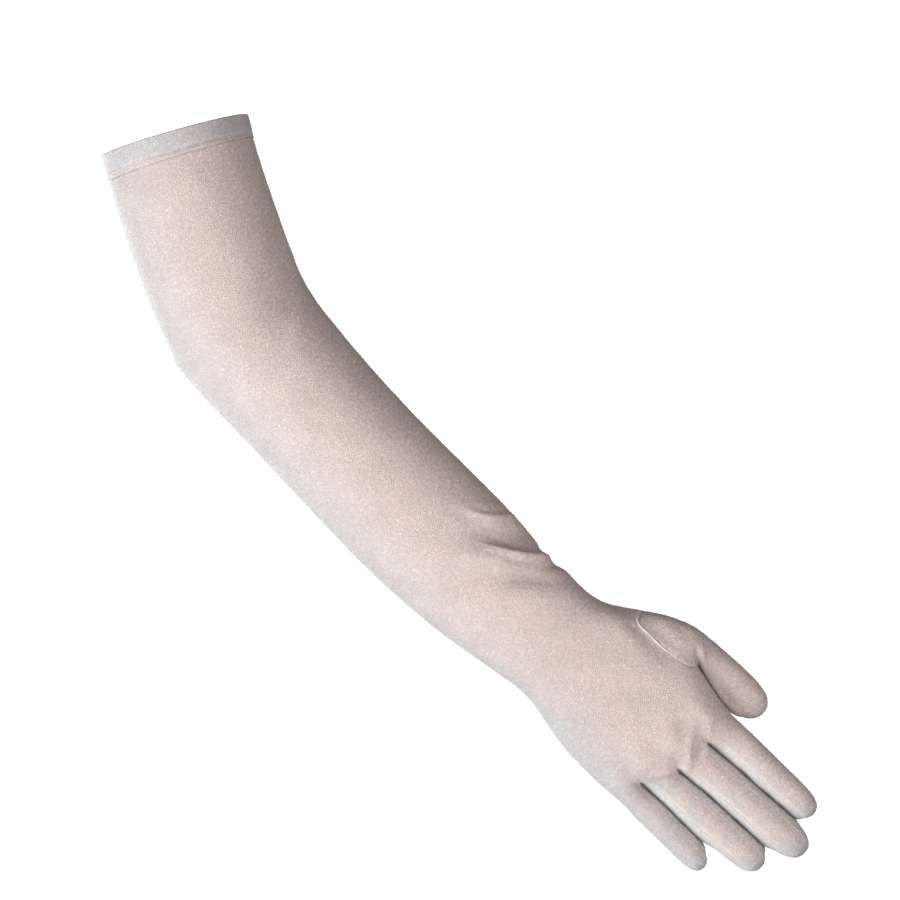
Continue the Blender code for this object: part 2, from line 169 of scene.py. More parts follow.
def flat_area(mesh, flat):
    """The area of a sheet's faces where they lie flat."""
    total = 0.0
    for face in mesh.polygons:
        ring = flat[face.loop_start : face.loop_start + face.loop_total]
        after = np.roll(ring, -1, axis=0)
        total += 0.5 * abs(float((ring[:, 0] * after[:, 1] - ring[:, 1] * after[:, 0]).sum()))
    return total


def refine(piece):
    """Makes the sheet fine and smooth through its own points, with its rim and cut kept."""
    coarse = piece.data
    smooth = piece.modifiers.new("smooth", "SUBSURF")
    smooth.levels = FINE_LEVELS
    smooth.render_levels = FINE_LEVELS
    smooth.uv_smooth = "PRESERVE_BOUNDARIES"
    smooth.boundary_smooth = "PRESERVE_CORNERS"
    wanted = places_of(coarse)
    for _ in range(SHRINK_ROUNDS):
        fine = subdivided(piece)
        shrink = wanted - places_of(fine)[: len(wanted)]
        bpy.data.meshes.remove(fine)
        coarse.vertices.foreach_set("co", (places_of(coarse) + shrink).ravel())
        coarse.update()
    fine = subdivided(piece)
    piece.modifiers.clear()
    piece.data = fine
    bpy.data.meshes.remove(coarse)
    fine.name = piece.name


def subdivided(piece):
    """The piece's mesh as its modifiers leave it."""
    graph = bpy.context.evaluated_depsgraph_get()
    return bpy.data.meshes.new_from_object(piece.evaluated_get(graph))


def places_of(mesh):
    """The places of a mesh's points, as an array."""
    places = np.zeros(3 * len(mesh.vertices))
    mesh.vertices.foreach_get("co", places)
    return places.reshape(-1, 3)


def normals_of(mesh):
    """The ways that a mesh's points face, as an array."""
    return np.array([point.normal for point in mesh.vertices])


def rim_edges(mesh):
    """The edges of a sheet that only one face has."""
    uses = {}
    for face in mesh.polygons:
        for key in face.edge_keys:
            uses[key] = uses.get(key, 0) + 1
    return [key for key, count in uses.items() if count == 1]


def rim_points(mesh):
    """The points on a sheet's rim, in order of number."""
    return sorted({index for key in rim_edges(mesh) for index in key})


def tree_of(places):
    """A search tree of some places."""
    tree = kdtree.KDTree(len(places))
    for index, place in enumerate(places):
        tree.insert(place, index)
    tree.balance()
    return tree


def rim_distances(mesh, places):
    """How far each place of a sheet is from its rim."""
    tree = tree_of(places[rim_points(mesh)])
    return np.array([tree.find(place)[2] for place in places])


def speckle(places, scale):
    """Smooth random heights from -1 to 1 at some places."""
    return np.array([noise.noise(Vector(place) * scale) for place in places])


# A fold of the cloth. x and z: its middle. turn: degrees from straight down towards the
# thumb's side. bow: how far its ends bend aside. rise: height, below zero for a valley.
Fold = namedtuple("Fold", "x z turn length width bow rise")
BACK_FOLDS = (
    Fold(-0.0272, -0.2980, 36.0, 0.0205, 0.0015, 0.0015, 0.00220),
    Fold(-0.0242, -0.2958, 36.0, 0.0165, 0.0019, 0.0013, -0.00190),
    Fold(-0.0280, -0.3040, 37.0, 0.0130, 0.0024, 0.0010, -0.00150),
    Fold(-0.0243, -0.2713, 40.0, 0.0125, 0.0012, 0.0010, 0.00130),
    Fold(-0.0222, -0.2692, 40.0, 0.0100, 0.0015, 0.0010, -0.00110),
    Fold(-0.0262, -0.2790, 42.0, 0.0090, 0.0014, 0.0008, -0.00060),
    Fold(-0.0236, -0.2812, 42.0, 0.0080, 0.0012, 0.0008, 0.00060),
    Fold(-0.0330, -0.2620, 38.0, 0.0120, 0.0022, 0.0010, -0.00060),
    Fold(-0.0188, -0.3150, 78.0, 0.0070, 0.0022, 0.0000, -0.00160),
    Fold(-0.0165, -0.3230, 80.0, 0.0060, 0.0030, 0.0000, 0.00060),
    Fold(-0.0450, -0.3080, 52.0, 0.0150, 0.0042, 0.0010, 0.00045),
    Fold(-0.0790, -0.3230, -35.0, 0.0110, 0.0032, 0.0010, -0.00045),
    Fold(-0.0740, -0.3340, -30.0, 0.0120, 0.0034, 0.0010, 0.00040),
    Fold(-0.0880, -0.0915, 90.0, 0.0120, 0.0068, 0.0000, 0.00200),
    Fold(-0.0820, -0.0940, 30.0, 0.0120, 0.0040, 0.0010, -0.00080),
    Fold(-0.0790, -0.1000, 28.0, 0.0140, 0.0040, 0.0010, 0.00050),
    Fold(-0.0140, -0.1060, -52.0, 0.0140, 0.0036, 0.0010, -0.00080),
    Fold(-0.0200, -0.1190, -58.0, 0.0150, 0.0040, 0.0010, 0.00060),
    Fold(-0.0374, -0.4386, -54.0, 0.0145, 0.0020, 0.0014, 0.00165),
    Fold(-0.0320, -0.4428, -60.0, 0.0085, 0.0013, 0.0008, -0.00170),
    Fold(-0.0270, -0.4405, -64.0, 0.0100, 0.0018, 0.0008, 0.00095),
    Fold(-0.0305, -0.4350, -58.0, 0.0090, 0.0016, 0.0008, -0.00070),
    Fold(-0.0560, -0.4400, 56.0, 0.0095, 0.0015, 0.0006, 0.00125),
    Fold(-0.0556, -0.4436, 56.0, 0.0070, 0.0013, 0.0006, -0.00100),
    Fold(-0.0480, -0.4390, 0.0, 0.0045, 0.0016, 0.0000, -0.00060),
    Fold(-0.0715, -0.4345, 20.0, 0.0050, 0.0011, 0.0000, -0.00090),
    Fold(-0.0680, -0.4330, 35.0, 0.0060, 0.0018, 0.0000, 0.00045),
    Fold(-0.0700, -0.4130, 52.0, 0.0080, 0.0016, 0.0000, 0.00035),
    Fold(-0.0560, -0.4040, 55.0, 0.0095, 0.0016, 0.0000, 0.00035),
    Fold(-0.0112, -0.3770, 4.0, 0.0120, 0.0022, -0.0010, -0.00080),
    Fold(-0.0170, -0.3700, -12.0, 0.0140, 0.0045, 0.0000, 0.00050),
    Fold(0.0070, -0.4190, 72.0, 0.0060, 0.0011, 0.0008, -0.00035),
    Fold(0.0072, -0.4220, 74.0, 0.0055, 0.0012, 0.0008, 0.00030),
    Fold(0.0005, -0.4075, -33.0, 0.0065, 0.0012, 0.0006, -0.00130),
    Fold(0.0038, -0.4085, -33.0, 0.0070, 0.0014, 0.0006, 0.00090),
    Fold(-0.0050, -0.3800, 10.0, 0.0120, 0.0026, 0.0000, -0.00090),
    Fold(0.0010, -0.3850, -20.0, 0.0100, 0.0022, 0.0010, 0.00040),
    Fold(0.0060, -0.3900, -24.0, 0.0090, 0.0020, 0.0010, -0.00040),
)
PALM_FOLDS = (
    Fold(-0.0480, -0.3420, 88.0, 0.0160, 0.0024, 0.0010, -0.00060),
    Fold(-0.0480, -0.3490, 90.0, 0.0170, 0.0022, -0.0010, -0.00045),
    Fold(-0.0500, -0.3290, 84.0, 0.0140, 0.0034, 0.0010, 0.00050),
    Fold(-0.0330, -0.3880, 20.0, 0.0200, 0.0028, -0.0040, -0.00070),
    Fold(-0.0530, -0.4170, 78.0, 0.0200, 0.0026, 0.0020, -0.00055),
    Fold(-0.0480, -0.4030, 62.0, 0.0180, 0.0026, 0.0010, -0.00045),
    Fold(-0.0500, -0.1080, 90.0, 0.0220, 0.0036, 0.0020, -0.00060),
    Fold(-0.0500, -0.1180, 92.0, 0.0200, 0.0040, 0.0010, 0.00050),
)
FOLD_ROUND = 0.35
FOLD_CUT_OFF = 1.5
SEAM_TUCK = 0.00008
SEAM_REACH = 0.0011
SEAM_MARK_REACH = 0.0024
PUCKER = 0.00022
PUCKER_SCALE = 420.0
PUCKER_REACH = 0.0030
RIPPLE = 0.00016
RIPPLE_SCALE = 160.0
RIPPLE_CLEAR = 0.004

# The cloth is greyer at the ends of the fingers and at the sides of the sleeve, and the grey is
# patchy. x, z: a fingertip. reach: how far the grey runs up from it.
Tip = namedtuple("Tip", "x z reach")
TIPS = (
    Tip(-0.0790, -0.4920, 0.0150),
    Tip(-0.0557, -0.5145, 0.0160),
    Tip(-0.0331, -0.5258, 0.0165),
    Tip(-0.0155, -0.5142, 0.0160),
    Tip(0.0047, -0.4532, 0.0100),
)
TIP_FADE = 0.012
FAR_SIDE_GREY = 0.95
FAR_SIDE_POWER = 1.6
NEAR_SIDE_GREY = 0.30
NEAR_SIDE_POWER = 3
FINGER_GREY = 0.12
FINGER_GREY_START = -0.425
FINGER_GREY_FADE = 0.040
PATCH_GREY = 0.55
PATCH_GREY_ALL = 0.10
PATCH_SCALE = 150.0
PATCH_FINE_SCALE = 420.0
PATCH_FINE_SHARE = 0.5
LITTLE_SIDE_X = -0.058
LITTLE_SIDE_Z = -0.345
LITTLE_SIDE_X_FADE = 0.018
LITTLE_SIDE_Z_FADE = 0.035
LITTLE_SIDE_GREY = 0.45
# Painted light and shade: how strongly the knit's specks show, growing towards the side that
# faces +x, away from the key light.
SHADE_SIDE_SPECKS_LEAST = 0.30
SHADE_SIDE_SPECKS_TURN = 0.80


def folded(fold, places):
    """How far one fold lifts the cloth at each place."""
    turn = math.radians(fold.turn)
    across = places[:, 0] - fold.x
    down = fold.z - places[:, 2]
    along = (down * math.cos(turn) + across * math.sin(turn)) / fold.length
    beside = across * math.cos(turn) - down * math.sin(turn) - fold.bow * along**2
    return fold.rise * np.exp(-(along**4) - (beside / fold.width) ** 2)


def coolness(places, normals):
    """How grey the cloth is at each place, from 0 to 1."""
    amount = FAR_SIDE_GREY * np.clip(-normals[:, 0], 0.0, 1.0) ** FAR_SIDE_POWER
    amount += NEAR_SIDE_GREY * np.clip(normals[:, 0], 0.0, 1.0) ** NEAR_SIDE_POWER
    for tip in TIPS:
        away = np.hypot(places[:, 0] - tip.x, places[:, 2] - tip.z)
        amount += np.clip((tip.reach - away) / TIP_FADE, 0.0, 1.0)
    on_fingers = np.clip((FINGER_GREY_START - places[:, 2]) / FINGER_GREY_FADE, 0.0, 1.0)
    over = np.clip((LITTLE_SIDE_X - places[:, 0]) / LITTLE_SIDE_X_FADE, 0.0, 1.0)
    below = np.clip((LITTLE_SIDE_Z - places[:, 2]) / LITTLE_SIDE_Z_FADE, 0.0, 1.0)
    amount += LITTLE_SIDE_GREY * over * below
    patches = speckle(places, PATCH_SCALE)
    patches += PATCH_FINE_SHARE * speckle(places, PATCH_FINE_SCALE)
    amount += on_fingers * (FINGER_GREY + PATCH_GREY * patches)
    return np.clip(amount + PATCH_GREY_ALL * patches, 0.0, 1.0)


def crease(piece, reach=1.0):
    """Lifts the cloth in its folds, tucks it in along the seams, and marks seams and tips.

    The folds run on over the seams, so each sheet takes all of them. reach: how far from its
    rim a sheet takes them.
    """
    mesh = piece.data
    places = places_of(mesh)
    normals = normals_of(mesh)
    gap = rim_distances(mesh, places)
    lift = np.zeros(len(places))
    for folds, facing in ((BACK_FOLDS, -1.0), (PALM_FOLDS, 1.0)):
        ahead = np.clip(FOLD_CUT_OFF * (facing * normals[:, 1] + FOLD_ROUND), 0.0, 1.0)
        lift += sum(folded(fold, places) for fold in folds) * ahead
    lift *= np.exp(-((gap / reach) ** 2))
    lift += RIPPLE * speckle(places, RIPPLE_SCALE) * np.clip(gap / RIPPLE_CLEAR, 0.0, 1.0)
    lift += PUCKER * speckle(places, PUCKER_SCALE) * np.exp(-gap / PUCKER_REACH)
    lift -= SEAM_TUCK * np.exp(-((gap / SEAM_REACH) ** 2))
    moved = places + normals * lift[:, None]
    mesh.vertices.foreach_set("co", moved.ravel())
    mark(mesh, "near_seam", np.exp(-((gap / SEAM_MARK_REACH) ** 2)))
    mark(mesh, "cool", coolness(places, normals))
    # Painted light and shade: speck strength by which way the cloth faces, strongest on the side
    # away from the key light.
    mark(mesh, "shade_side_specks", np.clip(SHADE_SIDE_SPECKS_LEAST + SHADE_SIDE_SPECKS_TURN * normals[:, 0], SHADE_SIDE_SPECKS_LEAST, 1.0))
    mesh.update()


def mark(mesh, name, values):
    """Gives every point of a mesh a number."""
    layer = mesh.attributes.new(name, "FLOAT", "POINT")
    layer.data.foreach_set("value", values)


# The mesh is knitted from fine metallic yarn in small uneven loops. Colours are linear. A scale
# counts a pattern's grains to the metre. A pair holds the limits between which a value runs.
WARM_YARN = (0.735, 0.612, 0.572)
COOL_YARN = (0.600, 0.590, 0.602)
LOOP_SIZE = 0.00115
LOOP_RANDOM = 0.9
LOOP_LINE = (0.04, 0.26)
LOOP_SHARE = 0.55
WARP = 0.00070
WARP_FINENESS = 0.8
CURL_SCALE = 620.0
CURL_TWIST = 0.8
CURL_WIDTH = 0.07
CURL_SHARE = 0.6
TANGLE_SCALE = 430.0
TANGLE_EDGES = (0.35, 0.65)
TANGLE_SHADES = (0.93, 1.07)
CLOUD_SCALE = 55.0
CLOUD_SHADES = (0.96, 1.04)
NOISE_SPREAD = (0.3, 0.7)
SPECK_SCALE = 620.0
SPECK_EDGES = (0.36, 0.64)
SPECK_SHADES = (0.84, 1.13)
FLECK_SIZE = 0.0010
FLECK_SHARE = 0.06
FLECK_FULL = 0.7
FLECK_LINE = (0.25, 0.45)
FLECK_COLOUR = (0.95, 0.93, 0.92)
FLECK_GLINT = 0.42
GAP_SHADE = 0.88
GAP_TINT = (1.0, 0.985, 0.98)
HOLE_ALPHA = 0.72
DENSE_AT = 0.8
SEAM_DENSITY = 0.8
# Painted shade: the tint that darkens the knit deep in the slits, where two sides of the cloth
# lie close.
SLIT_SHADE_TINT = (0.11, 0.105, 0.105)
RELIEF = 0.00034
RELIEF_STRENGTH = 0.9
RELIEF_TANGLE = 0.8
YARN_ROUGHNESS = 0.66
FLECK_ROUGHNESS = 0.34
KNIT_SHEEN = 0.25
KNIT_SHEEN_ROUGHNESS = 0.45


class Nodes:
    """Adds nodes to a material and links them by name."""

    def __init__(self, material):
        material.use_nodes = True
        self.tree = material.node_tree
        self.shader = self.tree.nodes["Principled BSDF"]

    def add(self, kind, inputs=None, **settings):
        """Adds one node, sets it, and fills its inputs with numbers or other nodes' outputs."""
        node = self.tree.nodes.new("ShaderNode" + kind)
        for name, value in settings.items():
            setattr(node, name, value)
        for name, value in (inputs or {}).items():
            self.fill(node.inputs[name], value)
        return node

    def fill(self, socket, value):
        if isinstance(value, bpy.types.NodeSocket):
            self.tree.links.new(value, socket)
        else:
            socket.default_value = value

    def maths(self, operation, *values):
        """The result of one operation on numbers or outputs."""
        node = self.add("Math", {}, operation=operation)
        for index, value in enumerate(values):
            self.fill(node.inputs[index], value)
        return node.outputs[0]

    def ramp(self, value, low, high, at_low=0.0, at_high=1.0):
        """A value read between two limits, smoothly."""
        node = self.add("MapRange", {}, interpolation_type="SMOOTHSTEP")
        for index, number in enumerate((value, low, high, at_low, at_high)):
            self.fill(node.inputs[index], number)
        return node.outputs[0]

    def mix(self, share, one, other, blend="MIX"):
        """Two colours mixed."""
        node = self.add("Mix", {}, data_type="RGBA", blend_type=blend)
        for index, value in ((0, share), (6, one), (7, other)):
            self.fill(node.inputs[index], value)
        return node.outputs[2]

    def noise(self, place, scale, detail, twist=0.0):
        """The grey and the colour of a noise pattern."""
        inputs = {"Vector": place, "Scale": scale, "Detail": detail, "Distortion": twist}
        return self.add("TexNoise", inputs).outputs

    def vector(self, operation, one, other):
        """The result of one operation on two vectors."""
        return self.add("VectorMath", {0: one, 1: other}, operation=operation).outputs[0]

    def cells(self, place, size, randomness, feature="F1"):
        """The outputs of a flat pattern of cells."""
        inputs = {"Vector": place, "Scale": 1.0 / size, "Randomness": randomness}
        settings = {"voronoi_dimensions": "2D", "feature": feature}
        return self.add("TexVoronoi", inputs, **settings).outputs

    def marked(self, name):
        """A number that the mesh's points carry."""
        return self.add("Attribute", attribute_name=name).outputs["Fac"]

    def grey(self, shade):
        """A grey of one shade."""
        return self.add("CombineColor", {0: shade, 1: shade, 2: shade}).outputs[0]

    def shader_input(self, name, value):
        self.fill(self.shader.inputs[name], value)


def opaque(colour):
    """A colour with its alpha."""
    return (*colour, 1.0)


def knit(name, warm, cool, gap_shade, hole_alpha):
    """Fine see-through knit, from a sheet's flat cut and its marks."""
    material = bpy.data.materials.new(name)
    nodes = Nodes(material)
    cut = nodes.add("UVMap", uv_map="cut").outputs[0]

    # How thick the yarn lies: loops with bent lines, and curls in patches.
    spread = nodes.noise(cut, WARP_FINENESS / LOOP_SIZE, 1.0)["Color"]
    centred = nodes.vector("SUBTRACT", spread, (0.5, 0.5, 0.5))
    shift = nodes.add("VectorMath", {0: centred, "Scale": WARP}, operation="SCALE").outputs[0]
    bent = nodes.vector("ADD", cut, shift)
    lines = nodes.cells(bent, LOOP_SIZE, LOOP_RANDOM, "DISTANCE_TO_EDGE")["Distance"]
    loops = nodes.maths("MULTIPLY", nodes.ramp(lines, *LOOP_LINE, 1.0, 0.0), LOOP_SHARE)
    curls = nodes.noise(cut, CURL_SCALE, 2.0, CURL_TWIST)[0]
    off_line = nodes.maths("ABSOLUTE", nodes.maths("SUBTRACT", curls, 0.5))
    curl = nodes.ramp(off_line, 0.0, CURL_WIDTH, 1.0, 0.0)
    tangle = nodes.noise(cut, TANGLE_SCALE, 3.0)[0]
    patchy = nodes.maths("MULTIPLY", nodes.ramp(tangle, *TANGLE_EDGES), CURL_SHARE)
    yarn = nodes.maths("ADD", loops, nodes.maths("MULTIPLY", curl, patchy))
    covered = nodes.maths("MINIMUM", yarn, 1.0)

    # Its tone: soft clouds at random, and specks of random tone whose strength is painted light
    # and shade, strongest on the side that faces away from the key light, where glinting yarn
    # shows against shade.
    cloud = nodes.noise(cut, CLOUD_SCALE, 3.0)[0]
    shade = nodes.maths(
        "MULTIPLY",
        nodes.ramp(tangle, *NOISE_SPREAD, *TANGLE_SHADES),
        nodes.ramp(cloud, *NOISE_SPREAD, *CLOUD_SHADES),
    )
    speck = nodes.noise(cut, SPECK_SCALE, 2.0)[0]
    strong = nodes.ramp(speck, *SPECK_EDGES, *SPECK_SHADES)
    # Painted light and shade: the specks grow strongest on the side away from the key light.
    change = nodes.maths("MULTIPLY", nodes.maths("SUBTRACT", strong, 1.0), nodes.marked("shade_side_specks"))
    grey = nodes.grey(nodes.maths("MULTIPLY", shade, nodes.maths("ADD", change, 1.0)))

    # Its colour: warm or grey yarn, darker between the loops, and painted shade deep in the
    # slits, where two sides of the cloth lie close.
    tint = nodes.mix(nodes.marked("cool"), opaque(warm), opaque(cool))
    plain = nodes.mix(1.0, tint, grey, "MULTIPLY")
    gap_tint = tuple(gap_shade * part for part in GAP_TINT)
    dark = nodes.mix(1.0, plain, opaque(gap_tint), "MULTIPLY")
    open_body = nodes.mix(covered, dark, plain)
    # Painted shade deep in the slits, where shade falls between close sides of the cloth.
    slit_shaded = nodes.mix(1.0, open_body, opaque(SLIT_SHADE_TINT), "MULTIPLY")
    body = nodes.mix(nodes.marked("painted_slit_shade"), open_body, slit_shaded)

    # Pale flecks, where a loop of the metallic yarn catches the light.
    grains = nodes.cells(cut, FLECK_SIZE, 1.0)
    picked = nodes.add("SeparateColor", {0: grains["Color"]}).outputs[0]
    chosen = nodes.ramp(picked, 1.0 - FLECK_SHARE, 1.0 - FLECK_FULL * FLECK_SHARE)
    middles = nodes.ramp(grains["Distance"], *FLECK_LINE, 1.0, 0.0)
    fleck = nodes.maths("MULTIPLY", chosen, middles)
    glint = nodes.maths("MULTIPLY", fleck, FLECK_GLINT)
    nodes.shader_input("Base Color", nodes.mix(glint, body, opaque(FLECK_COLOUR)))

    sewn = nodes.maths("MULTIPLY", nodes.marked("near_seam"), SEAM_DENSITY)
    dense = nodes.maths("MAXIMUM", covered, sewn)
    nodes.shader_input("Alpha", nodes.ramp(dense, 0.0, DENSE_AT, hole_alpha, 1.0))
    height = nodes.maths("ADD", yarn, nodes.maths("MULTIPLY", tangle, RELIEF_TANGLE))
    relief = {"Height": height, "Distance": RELIEF, "Strength": RELIEF_STRENGTH}
    nodes.shader_input("Normal", nodes.add("Bump", relief).outputs[0])
    rough = nodes.ramp(fleck, 0.0, 1.0, YARN_ROUGHNESS, FLECK_ROUGHNESS)
    nodes.shader_input("Roughness", rough)
    nodes.shader_input("Sheen Weight", KNIT_SHEEN)
    nodes.shader_input("Sheen Roughness", KNIT_SHEEN_ROUGHNESS)
    return material


def finish_cloth(piece, material, slot, flat, area, *nodes):
    """Gives a sheet its thickness, material and place in the frame."""
    wall = piece.modifiers.new("thickness", "SOLIDIFY")
    wall.thickness = CLOTH_THICKNESS
    wall.offset = -1.0
    piece.data.materials.clear()
    piece.data.materials.append(material)
    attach(piece, "root")
    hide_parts(*nodes)


back_material = knit("back knit", WARM_YARN, COOL_YARN, GAP_SHADE, HOLE_ALPHA)
back = cloth_sheet("back_cloth", "sleeve_back", "hand_back")
back_flat, back_area = lay_flat(back)
refine(back)
crease(back)
finish_cloth(back, back_material, "mesh", back_flat, back_area, "sleeve_back", "hand_back")

# The palm side: a second length of the same mesh, cut to the same outline and sewn to the back
# along both sides. It creases across the wrist and over the palm.

palm = cloth_sheet("palm_cloth", "sleeve_palm", "hand_palm")
palm_flat, palm_area = lay_flat(palm)
refine(palm)
crease(palm)
palm_material = knit("palm knit", WARM_YARN, COOL_YARN, GAP_SHADE, HOLE_ALPHA)
finish_cloth(palm, palm_material, "mesh", palm_flat, palm_area, "sleeve_palm", "hand_palm")

# The thumb: two pieces of the mesh, sewn together along the thumb's sides and set into an oval
# hole at the thumb's edge of the hand. The back piece wrinkles over the thumb's joint.

THUMB_FILL = 0.0018
THUMB_FILL_EDGE = 0.0012
THUMB_FILL_ROUNDS = 2
FILL_CLEAR = 0.00010
# How close two sides of the cloth must lie for painted shade to darken them.
SLIT_SHADE_START = 0.00165
SLIT_SHADE_REACH = 0.0034
SLIT_SHADE_TURN = -0.25
RAY_START = 0.0001
FILL_SIGHT = 4.0
LIFT_ROUNDS = 9


def faced_by(meshes):
    """Search trees of the cloth that lies opposite."""
    trees = []
    for mesh in meshes:
        faces = [face.vertices[:] for face in mesh.polygons]
        trees.append(BVHTree.FromPolygons(places_of(mesh).tolist(), faces))
    return trees


def gaps_ahead(mesh, faced, reach):
    """How far each point of a sheet is from the cloth straight in front of it."""
    gaps = np.full(len(mesh.vertices), reach)
    for index, point in enumerate(mesh.vertices):
        start = point.co + point.normal * RAY_START
        for tree in faced:
            gap = tree.ray_cast(start, point.normal, reach)[3]
            if gap is not None:
                gaps[index] = min(gaps[index], gap + RAY_START)
    return gaps


def fill_out(piece, facing_meshes, share, most, edge):
    """Rounds the cloth out towards the cloth that it faces, most of all in its middle."""
    mesh = piece.data
    reach = FILL_SIGHT * most
    gaps = gaps_ahead(mesh, faced_by(facing_meshes), reach)
    places = places_of(mesh)
    inner = np.clip(rim_distances(mesh, places) / edge, 0.0, 1.0)
    lift = np.clip(share * gaps - FILL_CLEAR, 0.0, most) * np.sin(0.5 * math.pi * inner)
    lift[gaps >= reach] = 0.0
    moved = places + normals_of(mesh) * smoothed(mesh, lift, LIFT_ROUNDS)[:, None]
    mesh.vertices.foreach_set("co", moved.ravel())
    mesh.update()


def smoothed(mesh, values, rounds):
    """Numbers on a mesh's points, evened out over their neighbours."""
    ends = np.array([edge.vertices[:] for edge in mesh.edges])
    count = np.bincount(ends.ravel(), minlength=len(values))
    for _ in range(rounds):
        total = np.bincount(ends[:, 0], values[ends[:, 1]], len(values))
        total += np.bincount(ends[:, 1], values[ends[:, 0]], len(values))
        values = 0.5 * values + 0.5 * total / count
    return values


def slit_shade_marks(piece, facing_meshes):
    """How much painted shade darkens the cloth where two sides of it lie close, from 0 to 1."""
    tree = tree_of(np.vstack([places_of(mesh) for mesh in facing_meshes]))
    normals = [point.normal.copy() for mesh in facing_meshes for point in mesh.vertices]
    gaps = np.full(len(piece.data.vertices), SLIT_SHADE_REACH)
    for index, point in enumerate(piece.data.vertices):
        for _, other, gap in tree.find_range(point.co, SLIT_SHADE_REACH):
            if gap < gaps[index] and point.normal.dot(normals[other]) < SLIT_SHADE_TURN:
                gaps[index] = gap
    return smoothed(piece.data, np.exp(-((gaps / SLIT_SHADE_START) ** 2)), 1)


thumb_halves = []
thumb_material = knit("thumb knit", WARM_YARN, COOL_YARN, GAP_SHADE, HOLE_ALPHA)
for node in ("thumb_back", "thumb_palm"):
    half = cloth_sheet(node + "_cloth", node)
    half_flat, half_area = lay_flat(half)
    refine(half)
    for _ in range(THUMB_FILL_ROUNDS):
        fill_out(half, [back.data, palm.data], 1.0, THUMB_FILL, THUMB_FILL_EDGE)
    crease(half)
    # Painted shade where the thumb lies close to the back and the palm.
    mark(half.data, "painted_slit_shade", slit_shade_marks(half, [back.data, palm.data]))
    finish_cloth(half, thumb_material, "mesh", half_flat, half_area, node)
    thumb_halves.append(half.data)
# Painted shade on the back and the palm where the thumb lies close to them.
for cloth in (back, palm):
    mark(cloth.data, "painted_slit_shade", slit_shade_marks(cloth, thumb_halves))

# The strips between the fingers: narrow lengths of the mesh that run down one finger's side,
# through the crotch and down the next finger's side. They look paler and denser than the back.

STRIP_WARM = (0.660, 0.590, 0.565)
STRIP_ALPHA = 0.85
STRIP_FOLD_REACH = 0.0018
STRIP_FILL = 0.0013
STRIP_FILL_EDGE = 0.0035
STRIP_FILL_ROUNDS = 3

strips = []
strip_material = knit("strip knit", STRIP_WARM, COOL_YARN, GAP_SHADE, STRIP_ALPHA)
for between in ("little_ring", "ring_middle", "middle_index"):
    node = "fourchette_" + between
    strip = cloth_sheet("finger_strip_" + between, node)
    strip_flat, strip_area = lay_flat(strip)
    refine(strip)
    for _ in range(STRIP_FILL_ROUNDS):
        fill_out(strip, [strip.data], 0.5, STRIP_FILL, STRIP_FILL_EDGE)
    crease(strip, STRIP_FOLD_REACH)
    # Painted shade where a strip's two sides lie close in the slit between fingers.
    mark(strip.data, "painted_slit_shade", slit_shade_marks(strip, [strip.data]))
    finish_cloth(strip, strip_material, "finger_strip", strip_flat, strip_area, node)
    strips.append(strip.data)

# The hem: the mesh at the sleeve's open end, folded over to the inside and stitched down. It is
# two layers thick, so it looks cooler and denser, and it lies over the end of the sleeve.

HEM_WALL = 0.002
HEM_DEPTH = 0.012
HEM_OVERLAP = 0.0008
HEM_PROUD = 0.0001
HEM_YARN = (0.610, 0.588, 0.600)
HEM_GAP_SHADE = 0.80
HEM_ALPHA = 0.88
HEM_STITCH = 0.0102
HEM_STITCH_WIDTH = 0.0007
HEM_GROOVE = 0.00035
HEM_PUFF = 0.00030
HEM_PUFF_START = 0.002
HEM_PUFF_SCALE = 220.0
HEM_PUFF_CHANGE = 0.5
HEM_GREY = 0.45
HEM_GREY_RISE = 0.0050
HEM_GREY_LIMITS = (0.35, 0.92)
HEM_SPECKS_SHARE = 0.6
OPENING_AXIS = Vector((0.4818, 0.0, 0.8763))
ORDER_LINE = Vector((0.31, 0.83, 0.47))

# The fold's section, from the outer layer's top edge. inward, rise: how far each step lies in
# from the edge and above it. The last row is the inner layer's sewn edge.
Step = namedtuple("Step", "inward rise")
HEM_FOLD = (
    Step(0.00012, 0.00022),
    Step(0.00036, 0.00032),
    Step(0.00062, 0.00022),
    Step(0.00078, 0.00000),
    Step(0.00084, -0.01000),
)


def order_of(element):
    """How far along a slanting line a point, edge or face lies."""
    points = getattr(element, "verts", None) or [element]
    return sum((point.co for point in points), Vector()).dot(ORDER_LINE) / len(points)


